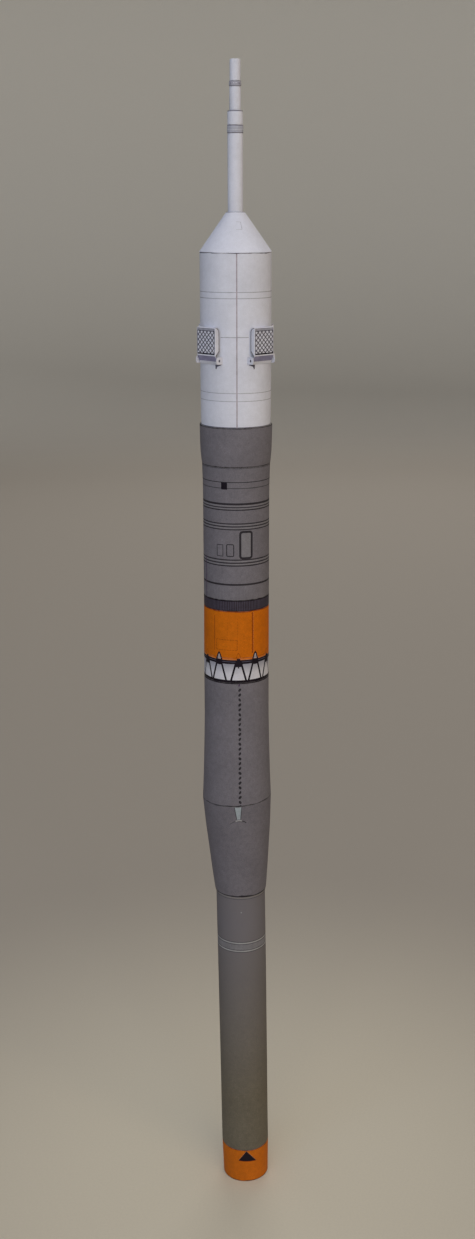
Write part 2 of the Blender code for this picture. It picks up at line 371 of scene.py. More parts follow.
def makeSheet(name, sheet, marks, place):
    # cut the flat sheet along its outline and its printed marks, then bend it where place() puts it
    outline = sheet["outline"]
    across = [point[0] for point in outline]
    up = [point[1] for point in outline]
    left, right, low, high = min(across), max(across), min(up), max(up)
    points, edges = gridLines(sheet["columns"], sheet["rows"])
    shapes = [outline]
    drawn = [sheet["paper"]]
    for ink, shape in marks:
        shape = clipped(shape, left, right, low, high)
        if shape:
            shapes.append(shape)
            drawn.append(ink)
    for shape in shapes:
        first, size = len(points), len(shape)
        points = points + list(shape)
        edges = edges + [(first + step, first + (step + 1) % size) for step in range(size)]
    cut = delaunay_2d_cdt([Vector(point) for point in points], edges, [], 0, 1e-4)
    flat = np.array([tuple(point) for point in cut[0]])
    corners = np.array(cut[2])
    sides = flat[corners[:, 1]] - flat[corners[:, 0]], flat[corners[:, 2]] - flat[corners[:, 0]]
    areas = sides[0][:, 0] * sides[1][:, 1] - sides[0][:, 1] * sides[1][:, 0]
    corners[areas < 0.0] = corners[areas < 0.0][:, ::-1]
    middles = flat[corners].mean(axis=1)
    kept = inside(middles, outline) & (np.abs(areas) > 1e-7)
    layer = np.zeros(len(corners), int)
    for number, shape in enumerate(shapes):
        layer[inside(middles, shape)] = number
    triangles = [tuple(corner) for corner in corners[kept].tolist()]
    inkNames = [drawn[number] for number in layer[kept]]
    used = sorted({corner for triangle in triangles for corner in triangle})
    renumber = {old: new for new, old in enumerate(used)}
    triangles = [tuple(renumber[corner] for corner in triangle) for triangle in triangles]
    flat = flat[used]
    count = len(flat)

    x, y = flat[:, 0], flat[:, 1]
    outer = place(x, y)
    step = 0.02
    normals = np.cross(place(x + step, y) - place(x - step, y), place(x, y + step) - place(x, y - step))
    normals /= np.linalg.norm(normals, axis=1)[:, None]
    inner = outer - normals * sheet["thickness"]

    once = {}
    for a, b, c in triangles:
        for pair in ((a, b), (b, c), (c, a)):
            if (pair[1], pair[0]) in once:
                del once[(pair[1], pair[0])]
            else:
                once[pair] = True
    rims = [(b, a, a + count, b + count) for a, b in once]
    faces = triangles + [(c + count, b + count, a + count) for a, b, c in triangles] + rims

    slots = list(dict.fromkeys([sheet["paper"]] + inkNames))
    backing = sheet.get("backing", "rawCard")
    if backing not in slots:
        slots.append(backing)
    index = [slots.index(ink) for ink in inkNames]
    index += [slots.index(backing)] * len(triangles) + [slots.index(sheet["paper"])] * len(rims)

    cornerNormals = [normals[corner] for triangle in triangles for corner in triangle]
    cornerNormals += [-normals[corner] for a, b, c in triangles for corner in (c, b, a)]
    both = np.vstack((outer, inner))
    for rim in rims:
        facing = np.cross(both[rim[2]] - both[rim[0]], both[rim[3]] - both[rim[1]])
        facing /= max(np.linalg.norm(facing), 1e-9)
        cornerNormals += [facing] * 4

    mesh = bpy.data.meshes.new(name)
    mesh.from_pydata((both * mm).tolist(), [], faces)
    for ink in slots:
        mesh.materials.append(inkMaterial(ink))
    mesh.polygons.foreach_set("material_index", index)
    mesh.shade_smooth()
    mesh.normals_split_custom_set([tuple(normal) for normal in cornerNormals])

    worn = np.clip(1.0 - edgeDistance(flat, outline) / card["wornWidth"], 0.0, 1.0)
    if "folds" in sheet:
        worn = np.maximum(worn, sheet["folds"](x, y))
    mesh.attributes.new("worn", "FLOAT", "POINT").data.foreach_set("value", np.tile(worn, 2))
    spot = np.stack((x, y, 0.0 * x), axis=1)
    mesh.attributes.new("sheet", "FLOAT_VECTOR", "POINT").data.foreach_set("vector", np.tile(spot, (2, 1)).ravel())
    if sheet.get("unroll"):
        unrollMap(mesh, flat, triangles, rims, (left, right, low, high))
    mesh.update()
    return mesh


def unrollMap(mesh, flat, triangles, rims, box):
    # the printed face fills most of the map; its back and its cut edges have strips of their own
    left, right, low, high = box
    u = 0.01 + 0.98 * (flat[:, 0] - left) / (right - left)
    v = (flat[:, 1] - low) / (high - low)
    corners = [(u[corner], 0.12 + 0.87 * v[corner]) for triangle in triangles for corner in triangle]
    corners += [(u[corner], 0.01 + 0.04 * v[corner]) for a, b, c in triangles for corner in (c, b, a)]
    for b, a, innerA, innerB in rims:
        flatWays = abs(flat[a][0] - flat[b][0]) > abs(flat[a][1] - flat[b][1])
        first, second = (u[b], u[a]) if flatWays else (0.01 + 0.98 * v[b], 0.01 + 0.98 * v[a])
        base = 0.06 + 0.03 * (not flatWays) + 0.015 * ((v[a] > 0.5) if flatWays else (u[a] > 0.5))
        corners += [(first, base + 0.009), (second, base + 0.009), (second, base), (first, base)]
    layer = mesh.uv_layers.new(name="OFBake")
    layer.data.foreach_set("uv", np.array(corners, dtype=np.float32).ravel())


def addPiece(name, mesh, node):
    piece = bpy.data.objects.new(name, mesh)
    bpy.context.scene.collection.objects.link(piece)
    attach(piece, "root")
    if node:
        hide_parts(node)
    return piece


# rolling a sheet into a tube

def unevenness(angle, height):
    waves = np.sin(2 * angle + height / 31.0 + 0.6) + 0.6 * np.sin(3 * angle - height / 17.0 + 2.1)
    return card["wobble"] * (waves + 0.35 * np.sin(5 * angle + height / 9.0))


def handCut(angle, joint):
    waves = 0.6 * np.sin(2 * angle + joint) + 0.35 * np.sin(5 * angle + 1.7 * joint)
    return card["cutWave"] * (waves + 0.25 * np.sin(13 * angle + 0.9 * joint))


def rollTube(form, radius, rough=1.0):
    length = form["length"]
    foot, head = np.array(form["foot"]), np.array(form["head"])
    footJoint, headJoint = round(form["at"], 0), round(form["at"] + length, 0)
    squeeze = 1.0 - card["crack"] / (2.0 * pi * radius)

    def place(x, up):
        angle = x / radius * squeeze
        fromHead = length - up
        rise = up + card["crack"] * (0.5 - up / length)
        rise = rise + handCut(angle, footJoint) * rough * np.exp(-np.abs(up) / 1.5)
        rise = rise + handCut(angle, headJoint) * rough * np.exp(-np.abs(fromHead) / 1.5)
        share = rise / length
        around = np.interp(share, form["shares"], form["radii"])
        around = around + unevenness(angle, form["at"] + up) * rough
        around = around - card["tuck"] * (np.exp(-(up / 0.2) ** 2) + np.exp(-(fromHead / 0.2) ** 2))
        around = around + card["seamLift"] * rough * np.exp(-(pi * radius - x) / 1.2)
        ring = np.stack((around * np.sin(angle), -around * np.cos(angle), 0.0 * around), axis=1)
        low = ring @ foot[:3, :3].T + foot[:3, 3]
        high = ring @ head[:3, :3].T + head[:3, 3]
        return low + share[:, None] * (high - low)

    return place


def tubeSheet(form, ink, columns=None):
    radius = float(form["radii"].mean())
    half, length = pi * radius, form["length"]
    rows = set(np.linspace(0.0, length, max(2, round(length / card["rowHeight"])) + 1).round(3))
    rows |= {0.1, 0.2, 0.35, length - 0.35, length - 0.2, length - 0.1}
    rows |= set((form["shares"] * length).round(3))
    return {
        "paper": ink,
        "thickness": card["thickness"],
        "outline": [(-half, 0.0), (half, 0.0), (half, length), (-half, length)],
        "columns": np.linspace(-half, half, (columns or card["columns"]) + 1),
        "rows": sorted(row for row in rows if -0.001 < row < length + 0.001),
        "radius": radius,
        "half": half,
        "at": form["at"],
        "length": length,
        "unroll": True,
    }


def at(sheet, azimuth, height):
    return (radians(azimuth) * sheet["radius"], height - sheet["at"])


def ring(ink, sheet, height, width):
    up = height - sheet["at"]
    return bar(ink, -sheet["half"], sheet["half"], up - width / 2.0, up + width / 2.0)


def footRing(ink, sheet, width):
    return bar(ink, -sheet["half"], sheet["half"], 0.0, width)


def headRing(ink, sheet, width):
    return bar(ink, -sheet["half"], sheet["half"], sheet["length"] - width, sheet["length"])


def ragged(ink, sheet, atHead, thin, thick, spots=(), steps=180):
    # a dark line along a joint, uneven in width and thicker at each spot (azimuth, spread, extra)
    edge, side = (sheet["length"], -1.0) if atHead else (0.0, 1.0)
    shape = []
    for step in range(steps + 1):
        azimuth = -180.0 + 360.0 * step / steps
        ripple = 0.5 + 0.25 * sin(azimuth / 7.3) + 0.17 * sin(azimuth / 3.1 + 1.0) + 0.08 * sin(azimuth / 1.7)
        width = thin + (thick - thin) * ripple
        for middle, spread, extra in spots:
            width += extra * exp(-((azimuth - middle) / spread) ** 2)
        shape.append((sheet["half"] * azimuth / 180.0, edge + side * width))
    return (ink, shape + [(sheet["half"], edge), (-sheet["half"], edge)])


def rollPiece(node, sheet, form, marks, rough=1.0):
    mesh = makeSheet(node + "_Card", sheet, marks, rollTube(form, sheet["radius"], rough))
    return addPiece(node + "_Card", mesh, node)


print("frame read, paper ready")


# the orange foot with its black triangle

baseTube = {
    "apex": (2.4, 16.75),
    "corners": ((-18.0, 11.30), (27.0, 10.95)),
    "sag": -0.05,
    "redEdge": 0.30,
    "paleEdge": 0.14,
    "footLine": (0.25, 0.50),
    "topLine": (0.12, 0.32),
}


def makeBase():
    form = readForm("Base_Tube")
    sheet = tubeSheet(form, "footOrange")
    apex = at(sheet, *baseTube["apex"])
    left, right = (at(sheet, *corner) for corner in baseTube["corners"])
    middle = ((left[0] + right[0]) / 2.0, (left[1] + right[1]) / 2.0 - baseTube["sag"])
    # the brown line round the foot is painted contact shadow where the tube stands on the disc
    marks = [ragged("footLine", sheet, False, *baseTube["footLine"]), ragged("redLine", sheet, True, *baseTube["topLine"])]
    marks += stroke("pinkEdge", [left, apex, right], baseTube["paleEdge"] * 2.0)
    marks += stroke("redLine", [left, middle, right], baseTube["redEdge"] * 2.0)
    marks.append(("blackInk", [left, middle, right, apex]))
    rollPiece("Base_Tube", sheet, form, marks)


# the lower tube

lowerTube = {
    "paleRings": (124.3, 120.35),
    "paleWidth": 0.48,
    "thinRings": (124.85, 123.70, 120.90, 119.80),
    "thinWidth": 0.26,
    "speck": (0.3, 139.5),
    "speckSize": 0.55,
    "lightTop": (146.6, 0.28),
    "darkTop": (145.9, 0.20),
    "footLine": (0.10, 0.30),
}


def makeLowerTube():
    form = readForm("Core_Lower_Tube")
    sheet = tubeSheet(form, "lowerCard")
    high, low = lowerTube["paleRings"]
    marks = [bar("blueGrey", -sheet["half"], sheet["half"], low - sheet["at"], high - sheet["at"])]
    marks += [ring("softLine", sheet, height, lowerTube["thinWidth"]) for height in lowerTube["thinRings"]]
    marks += [ring("paleBand", sheet, height, lowerTube["paleWidth"]) for height in lowerTube["paleRings"]]
    marks.append(ring("warmLight", sheet, *lowerTube["lightTop"]))
    marks.append(ring("softLine", sheet, *lowerTube["darkTop"]))
    marks.append(ragged("softLine", sheet, False, *lowerTube["footLine"]))
    speck = at(sheet, *lowerTube["speck"])
    marks.append(blob("paleBand", *speck, lowerTube["speckSize"], lowerTube["speckSize"]))
    rollPiece("Core_Lower_Tube", sheet, form, marks)


# the cone under the waist

waistCone = {
    "footLine": (0.36, 0.72),
    "footSpots": ((4.0, 16.0, 0.30), (50.0, 12.0, 0.15), (-38.0, 9.0, -0.18)),
    "headLine": (0.06, 0.20),
    "panel": ((-1.3, 186.0), (5.2, 186.0), (7.9, 191.8), (-4.5, 191.8)),
    "panelLine": 0.30,
    "leftArc": ((-13.8, 183.7), (-9.0, 184.5), (-3.6, 185.2)),
    "whiteArc": ((-3.6, 185.2), (2.3, 185.5), (7.6, 185.25)),
    "rightArc": ((7.6, 185.25), (11.5, 184.8), (14.6, 184.0)),
    "underArc": ((-1.0, 184.85), (3.5, 184.95), (10.0, 184.6)),
    "arcWidth": 0.34,
}


def makeWaistCone():
    form = readForm("Waist_Cone", skewed=True)
    sheet = tubeSheet(form, "coneCardShaded")
    marks = [ragged("darkLine", sheet, False, *waistCone["footLine"], waistCone["footSpots"]),
             ragged("softLine", sheet, True, *waistCone["headLine"])]
    panel = [at(sheet, *corner) for corner in waistCone["panel"]]
    marks.append(("paleGreen", panel))
    marks += stroke("softLine", [panel[3], panel[0]], waistCone["panelLine"])
    marks += stroke("softLine", [panel[1], panel[2]], waistCone["panelLine"])
    for ink, arc, share in (("softLine", "underArc", 0.7), ("softLine", "leftArc", 0.8),
                            ("darkLine", "rightArc", 1.0), ("paleBand", "whiteArc", 1.3)):
        marks += stroke(ink, [at(sheet, *point) for point in waistCone[arc]], waistCone["arcWidth"] * share)
    rollPiece("Waist_Cone", sheet, form, marks)


# the upper tube of the core, with its column of dabs

upperTube = {
    "dabs": {"count": 24, "first": 193.98, "pitch": 2.218, "azimuth": 5.2, "size": (1.20, 1.55), "slant": 0.28},
    "tick": (4.4, 247.1),
    "tickSize": (0.8, 1.2),
    "waistLine": (0.10, 0.30),
    "waistSpots": ((-12.0, 11.0, 0.32), (-57.0, 4.0, 0.34), (6.0, 1.6, 0.40), (24.0, 7.0, 0.12), (52.0, 9.0, 0.30)),
    "topLine": 0.45,
}


def makeUpperTube():
    form = readForm("Core_Upper_Tube", skewed=True)
    sheet = tubeSheet(form, "greyCard")
    marks = [ragged("darkLine", sheet, False, *upperTube["waistLine"], upperTube["waistSpots"]),
             headRing("blackInk", sheet, upperTube["topLine"])]
    dabs = upperTube["dabs"]
    for number in range(dabs["count"]):
        x, y = at(sheet, dabs["azimuth"], dabs["first"] + number * dabs["pitch"])
        lean = dabs["slant"] if number % 3 else -dabs["slant"] * 0.7
        swell = 1.0 + 0.12 * sin(number * 2.3)
        marks.append(blob("darkLine", x, y, dabs["size"][0] * swell, dabs["size"][1], lean, steps=8))
    x, y = at(sheet, *upperTube["tick"])
    marks.append(blob("purpleTick", x, y, *upperTube["tickSize"], 0.12, steps=8))
    rollPiece("Core_Upper_Tube", sheet, form, marks)


# the truss band and the orange skirt, which share the arches

truss = {
    "nodes": (-62.0, -32.1, 3.3, 34.6, 66.2, 99.3, 132.4, 165.5, 198.7, 231.8, 264.9),
    "arches": (1, 3, 5, 7, 8, 10),
    "lowRing": (248.0, 249.25),
    "topRing": (256.5, 258.25),
    "split": (257.35, 257.6),
    "paleLine": (258.25, 258.5),
    "legWidth": 0.82,
    "legTop": (5.3, 256.4),
    "legFoot": (13.5, 248.9),
    "archWidth": 0.58,
    "archSide": (4.5, 258.6),
    "archJoin": (3.9, 259.0),
    "archShoulder": (2.4, 260.4),
    "archTop": 261.3,
}


def archPath(sheet, centre):
    join, shoulder = truss["archJoin"], truss["archShoulder"]
    steps = [(-truss["archSide"][0], truss["archSide"][1]), (-join[0], join[1]), (-shoulder[0], shoulder[1]),
             (0.0, truss["archTop"]), (shoulder[0], shoulder[1]), (join[0], join[1]),
             (truss["archSide"][0], truss["archSide"][1])]
    return [at(sheet, centre + azimuth, height) for azimuth, height in steps]


def nearest(azimuth):
    return (azimuth + 180.0) % 360.0 - 180.0


def makeTrussBand():
    form = readForm("Truss_Band")
    sheet = tubeSheet(form, "trussCard")
    half, base = sheet["half"], sheet["at"]
    marks = [bar("orangeCard", -half, half, truss["paleLine"][1] - base, sheet["length"]),
             bar("pinkEdge", -half, half, truss["paleLine"][0] - base, truss["paleLine"][1] - base),
             bar("blackInk", -half, half, truss["topRing"][0] - base, truss["topRing"][1] - base),
             bar("violetShade", -half, half, truss["split"][0] - base, truss["split"][1] - base)]
    footAway, footHeight = truss["legFoot"]
    topAway, topHeight = truss["legTop"]
    for number, azimuth in enumerate(truss["nodes"]):
        centre = nearest(azimuth)
        for side in (-1, 1):
            leg = [at(sheet, centre + side * footAway, footHeight), at(sheet, centre + side * topAway, topHeight)]
            if number in truss["arches"]:
                leg.append(at(sheet, centre + side * truss["archSide"][0], truss["archSide"][1]))
                leg.append(at(sheet, centre + side * truss["archJoin"][0], truss["archJoin"][1] + 0.2))
            marks += stroke("blackInk", leg, truss["legWidth"])
        if number in truss["arches"]:
            inside = [at(sheet, centre + away, height)
                      for away, height in ((-3.2, 258.5), (3.2, 258.5), (2.7, 259.1), (-2.7, 259.1))]
            marks.append(("archPaper", inside))
            marks.append(("blackInk", [at(sheet, centre + away, height) for away, height in
                                       ((-6.2, 256.2), (-2.0, 255.9), (2.0, 255.9), (6.2, 256.2), (5.0, 258.4), (-5.0, 258.4))]))
        else:
            marks.append(("blackInk", [at(sheet, centre + away, height) for away, height in
                                       ((-6.0, 255.2), (6.2, 255.2), (8.0, 256.9), (3.2, 258.2), (3.0, 258.85), (-3.0, 258.85), (-3.2, 258.2), (-7.5, 256.9))]))
            marks += stroke("blackInk", [at(sheet, centre, 254.6), at(sheet, centre, 255.4)], 0.5)
    marks.append(bar("blackInk", -half, half, truss["lowRing"][0] - base, truss["lowRing"][1] - base))
    rollPiece("Truss_Band", sheet, form, marks)


skirt = {
    "redLine": (-41.5, 261.9, 277.1, 0.30),
    "boldLine": (28.9, 261.4, 278.7, 0.62),
    "panel": (-37.4, 1.0, 262.5, 267.0),
    "faintLines": ((-16.5, 267.5, 276.0), (1.4, 268.0, 277.0), (13.0, 262.0, 270.0)),
    "faintWidth": 0.32,
    "dash": (0.9, 0.30),
    "topLine": (0.25, 0.50),
    "footLine": (0.05, 0.18),
}


def dashes(ink, start, end, width, dash):
    start, end = Vector(start), Vector(end)
    length = (end - start).length
    along = (end - start).normalized()
    marks, done = [], 0.0
    while done < length:
        tail = min(done + dash[0], length)
        marks += stroke(ink, [start + along * done, start + along * tail], width)
        done = tail + dash[1]
    return marks


def makeSkirt():
    form = readForm("Orange_Skirt")
    sheet = tubeSheet(form, "orangeCard")
    marks = [ragged("redLine", sheet, True, *skirt["topLine"]), ragged("redLine", sheet, False, *skirt["footLine"])]
    left, right, low, high = skirt["panel"]
    corners = [at(sheet, *corner) for corner in ((left, low), (right, low), (right, high), (left, high))]
    for start, end in zip(corners, corners[1:] + corners[:1]):
        marks += dashes("brownLine", start, end, skirt["faintWidth"], skirt["dash"])
    for azimuth, low, high in skirt["faintLines"]:
        marks += dashes("brownLine", at(sheet, azimuth, low), at(sheet, azimuth, high), skirt["faintWidth"] * 0.5, (0.7, 0.6))
    for turn in (0.0, 180.0):
        azimuth, low, high, width = skirt["redLine"]
        marks += stroke("redLine", [at(sheet, nearest(azimuth + turn), low), at(sheet, nearest(azimuth + turn), high)], width)
        azimuth, low, high, width = skirt["boldLine"]
        azimuth = nearest(azimuth + turn)
        step = 0
        while low < high:
            x, y = at(sheet, azimuth, low)
            shift = 0.09 if step % 2 else -0.07
            marks.append(blob("redLine", x + shift, y, width, 1.05, steps=8))
            marks.append(bar("pinkEdge", x + width / 2.0 + 0.16, x + width / 2.0 + 0.28, y, y + 0.5))
            low += 0.85
            step += 1
    for number, azimuth in enumerate(truss["nodes"]):
        centre = nearest(azimuth)
        path = archPath(sheet, centre)
        if number in truss["arches"]:
            marks.append(("archPaper", path[1:6]))
            marks += stroke("blackInk", path, truss["archWidth"])
        else:
            marks += stroke("brownLine", path[1:6], 0.25)
    rollPiece("Orange_Skirt", sheet, form, marks)


# the dark fluted band

flutes = {"pitch": 0.75, "width": 0.27, "margin": 0.35, "topLine": 0.55, "footLine": 0.20}


def makeFlutedBand():
    form = readForm("Fluted_Band")
    sheet = tubeSheet(form, "darkCard")
    count = round(2.0 * sheet["half"] / flutes["pitch"])
    pitch = 2.0 * sheet["half"] / count
    marks = []
    for number in range(count):
        x = -sheet["half"] + (number + 0.5) * pitch
        marks.append(bar("fluteBlue", x - flutes["width"] / 2.0, x + flutes["width"] / 2.0,
                         flutes["margin"], sheet["length"] - flutes["margin"]))
    marks.append(headRing("blackInk", sheet, flutes["topLine"]))
    marks.append(footRing("blackInk", sheet, flutes["footLine"]))
    rollPiece("Fluted_Band", sheet, form, marks)


# the grey stage with its rings, door and windows

stage = {
    "rings": (
        ("softLine", 339.95, 0.24), ("darkLine", 334.23, 0.32), ("softLine", 331.73, 0.40),
        ("darkLine", 325.15, 0.84), ("lightGrey", 324.4, 0.40), ("darkLine", 323.77, 0.42),
        ("lightGrey", 323.2, 0.36), ("darkLine", 322.69, 0.50),
        ("darkLine", 316.90, 0.48), ("lightGrey", 316.3, 0.42), ("darkLine", 315.69, 0.48),
        ("lightGrey", 315.1, 0.42), ("darkLine", 314.47, 0.44),
        ("darkLine", 301.60, 0.50), ("lightGrey", 300.95, 0.42), ("darkLine", 300.28, 0.52),
        ("lightGrey", 299.7, 0.42), ("darkLine", 299.08, 0.52),
        ("darkLine", 290.99, 0.78),
    ),
    "door": {"box": (1.64, 6.70, 302.30, 313.45), "corner": 1.0, "width": 0.92},
    "leftWindow": {"box": (-8.55, -5.80, 303.1, 307.9), "corner": 0.15, "width": 0.28},
    "rightWindow": {"box": (-4.12, -1.12, 303.15, 308.15), "corner": 0.5, "width": 0.40},
    "square": (-6.46, -3.83, 331.2, 334.1),
    "sideLine": (-15.7, 284.3, 301.6, 0.5),
    "streaks": (284.6, 289.7, 0.10, 1.5),
}


def framed(ink, sheet, shape):
    left, right, low, high = shape["box"]
    path = roundedBox(left, right, low - sheet["at"], high - sheet["at"], shape["corner"])
    return stroke(ink, path, shape["width"], closed=True)


def makeStage():
    form = readForm("Third_Stage")
    sheet = tubeSheet(form, "greyCard")
    marks = []
    low, high, width, pitch = stage["streaks"]
    for number in range(int(2.0 * sheet["half"] / pitch)):
        x = -sheet["half"] + (number + 0.5) * pitch
        marks.append(bar("lightGrey", x - width / 2.0, x + width / 2.0, low - sheet["at"], high - sheet["at"]))
    marks += [ring(ink, sheet, height, width) for ink, height, width in stage["rings"]]
    left, right, low, high = stage["door"]["box"]
    marks.append(bar("lightGrey", left, right, low - sheet["at"], high - sheet["at"]))
    marks += framed("darkLine", sheet, stage["door"])
    marks += framed("darkLine", sheet, stage["leftWindow"])
    marks += framed("darkLine", sheet, stage["rightWindow"])
    left, right, low, high = stage["square"]
    marks.append(bar("blackInk", left, right, low - sheet["at"], high - sheet["at"]))
    x, low, high, width = stage["sideLine"]
    marks.append(bar("purpleTick", x - width / 2.0, x + width / 2.0, low - sheet["at"], high - sheet["at"]))
    rollPiece("Third_Stage", sheet, form, marks)


adapter = {"mouthLine": (0.20, 0.38), "footLine": (0.22, 0.40)}


def makeAdapter():
    form = readForm("Adapter")
    sheet = tubeSheet(form, "greyCard")
    marks = [ragged("darkLine", sheet, True, *adapter["mouthLine"]), ragged("darkLine", sheet, False, *adapter["footLine"])]
    rollPiece("Adapter", sheet, form, marks)


print("foot, core and stage laid out")


# the white fairing and its cone

fairing = {
    "rings": ((410.2, 0.25), (407.8, 0.25), (370.4, 0.22), (367.2, 0.22)),
    "upright": (1.5, 0.50),
    "crossLine": (-24.9, 20.5, 392.65, 0.28),
    # earShadow: a painted shadow under one ear of each fin
    "earShadow": ((11.8, 382.2), (23.0, 382.3), (22.0, 381.6), (15.5, 381.0), (13.6, 379.9), (12.2, 380.1)),
    "rimShade": (0.05, 0.30),
    "rimSpots": ((-62.0, 12.0, 0.14), (-6.0, 9.0, 0.12), (12.0, 5.0, 0.08), (46.0, 20.0, 0.16)),
    "mouthShade": 0.25,
}


def finAzimuths():
    form = readForm("Fairing_Tube")
    found = []
    for number in (1, 2, 3, 4):
        middle = toLocal(form["foot"], nodePoints(f"Grid_Fin_{number}")).mean(axis=0)
        found.append(np.degrees(atan2(middle[0], -middle[1])))
    return found


def makeFairing():
    form = readForm("Fairing_Tube")
    sheet = tubeSheet(form, "whiteCard")
    mouth = readForm("Adapter")
    mouthUp = mouth["at"] + mouth["length"] - sheet["at"]
    marks = [ring("greyLine", sheet, height, width) for height, width in fairing["rings"]]
    # painted shade on the fairing's foot, just above the adapter's mouth
    marks.append(bar("violetShade", -sheet["half"], sheet["half"], 0.0, mouthUp + fairing["mouthShade"]))
    azimuth, width = fairing["upright"]
    for turn in (0.0, 180.0):
        x = radians(nearest(azimuth + turn)) * sheet["radius"]
        marks.append(bar("lilacLine", x - width / 2.0, x + width / 2.0, mouthUp, sheet["length"]))
    left, right, height, width = fairing["crossLine"]
    marks += stroke("greyLine", [at(sheet, left, height), at(sheet, right, height)], width)
    # a painted shadow of an ear, dark violet on the fairing below it, on one side of each fin
    for azimuth in finAzimuths():
        side = -1 if (azimuth > 0.0) == (abs(azimuth) < 90.0) else 1
        shape = [at(sheet, nearest(azimuth + side * away), height) for away, height in fairing["earShadow"]]
        marks.append(("violetShade", shape))
    # painted shadow under the cone's overhanging rim, uneven along the joint
    marks.append(ragged("violetShade", sheet, True, *fairing["rimShade"], fairing["rimSpots"]))
    rollPiece("Fairing_Tube", sheet, form, marks)


cone = {
    "panel": (1.5, 17.5, 434.2, 437.1),
    "panelLine": 0.20,
    "rimWave": 2.2,
}


def makeCone():
    form = readForm("Fairing_Cone")
    sheet = tubeSheet(form, "whiteCard")
    left, right, low, high = cone["panel"]
    corners = [at(sheet, *corner) for corner in ((left, low), (right, low), (right, high), (left, high))]
    marks = stroke("faintLine", corners[:1] + corners[1:2], cone["panelLine"])
    marks += stroke("greyLine", [corners[1], corners[2]], cone["panelLine"])
    marks += stroke("faintLine", [corners[2], corners[3]], cone["panelLine"] * 0.8)
    marks.append(headRing("greyLine", sheet, 0.25))
    rollPiece("Fairing_Cone", sheet, form, marks, rough=cone["rimWave"])


# the escape tower of tightly rolled card

tower = {
    "columns": 48,
    "stripes": (("midLine", 473.50, 0.34), ("greyLine", 472.8, 0.14), ("greyLine", 472.2, 0.12),
                ("faintLine", 471.95, 0.26), ("greyLine", 471.5, 0.12), ("midLine", 470.80, 0.30)),
    "collarLine": 0.36,
    "dots": ((-12.0, 489.2, 0.42), (9.0, 489.2, 0.36)),
    "spots": ((-48.0, 489.0, 0.9), (-3.0, 489.1, 0.3), (42.0, 489.0, 0.6)),
    "bandShade": 0.22,
    "layer": 0.20,
    "layerGap": 0.05,
    "sunk": 0.10,
}


def winding(name, plane, innerRadius, outerRadius, depth):
    # the end of a tight roll: one strip wound round and round, standing just below the rim
    pitch = tower["layer"] + tower["layerGap"]
    turns = (outerRadius - innerRadius - tower["layer"]) / pitch
    steps = max(24, int(turns * 40))
    mesh = bpy.data.meshes.new(name)
    shape = bmesh.new()
    rows = []
    for step in range(steps + 1):
        angle = 2.0 * pi * turns * step / steps
        near = innerRadius + pitch * angle / (2.0 * pi)
        top = -tower["sunk"] + 0.035 * sin(angle * 0.37) + 0.02 * sin(angle * 1.3)
        row = []
        for radius, height in ((near, top - depth), (near + tower["layer"], top - depth),
                               (near + tower["layer"], top), (near, top)):
            spot = plane @ Vector((radius * sin(angle), -radius * cos(angle), height))
            row.append(shape.verts.new(spot * mm))
        rows.append(row)
    for before, after in zip(rows, rows[1:]):
        for side in range(4):
            shape.faces.new((before[side], before[(side + 1) % 4], after[(side + 1) % 4], after[side]))
    shape.faces.new(list(reversed(rows[0])))
    shape.faces.new(rows[-1])
    bmesh.ops.recalc_face_normals(shape, faces=shape.faces)
    shape.to_mesh(mesh)
    shape.free()
    mesh.materials.append(inkMaterial("rawCard"))
    return addPiece(name, mesh, None)


def makeTower():
    forms = {node: readForm(node) for node in ("Tower_Tube", "Tower_Striped_Band", "Tower_Collar",
                                               "Tower_Upper_Tube", "Tower_Nozzle_Band", "Tower_Tip")}
    sheets = {}
    for node, form in forms.items():
        ink = {"Tower_Striped_Band": "bandCard", "Tower_Nozzle_Band": "nozzleCard"}.get(node, "whiteCard")
        sheets[node] = tubeSheet(form, ink, tower["columns"])
        sheets[node]["thickness"] = 0.28
    band, nozzles = sheets["Tower_Striped_Band"], sheets["Tower_Nozzle_Band"]
    collar = sheets["Tower_Collar"]
    marks = {node: [] for node in forms}
    marks["Tower_Striped_Band"] = [ring(ink, band, height, width) for ink, height, width in tower["stripes"]]
    marks["Tower_Collar"] = [headRing("midLine", collar, tower["collarLine"])]
    marks["Tower_Nozzle_Band"] = [headRing("midLine", nozzles, tower["bandShade"]),
                                  footRing("midLine", nozzles, tower["bandShade"])]
    for turn in (0.0, 90.0, 180.0, 270.0):
        for azimuth, height, size in tower["spots"]:
            marks["Tower_Nozzle_Band"].append(blob("midLine", *at(nozzles, nearest(azimuth + turn), height), size * 0.7, size))
        for azimuth, height, size in tower["dots"]:
            marks["Tower_Nozzle_Band"].append(blob("whiteCard", *at(nozzles, nearest(azimuth + turn), height), size, size * 1.2))
    for node, form in forms.items():
        rollPiece(node, sheets[node], form, marks[node], rough=0.45)
    tip, thin = forms["Tower_Tip"], forms["Tower_Upper_Tube"]
    winding("Tower_Tip_Roll", tip["head"], 0.22, tip["radii"][-1] - 0.33, 2.0)
    winding("Tower_Collar_Roll", forms["Tower_Collar"]["head"], thin["radii"][0] + 0.03, forms["Tower_Collar"]["radii"][-1] - 0.30, 2.0)


# the folded grid fins and their ears

fin = {
    "thickness": 0.22,
    "foldRadius": 0.28,
    "flapDepth": 2.15,
    "cornerDepth": 1.9,
    "cornerHeight": 1.9,
    "chamfer": 1.8,
    "topDepth": 2.15,
    "lipDepth": 1.85,
    "bow": 0.10,
    "latticePitch": 1.44,       # between neighbouring parallel lines, square to them
    "latticeWidth": 0.37,
    "latticeBox": (0.45, 0.55, 9.75),   # margin from the sides, then from and to up the panel
    "frameWidth": 0.26,
    "footWidth": 0.44,
    "bandBox": (9.85, 10.70),
    "flapLine": 0.30,
    "lipBox": (0.12, 0.12, 2.55),       # margin from the sides, then from and to down the lip
}

ear = {
    "thickness": 0.30,
    "reach": 13.25,
    "corner": 0.9,
    "dot": (15.0, 383.45),
    "dotSize": (0.8, 1.1),
}


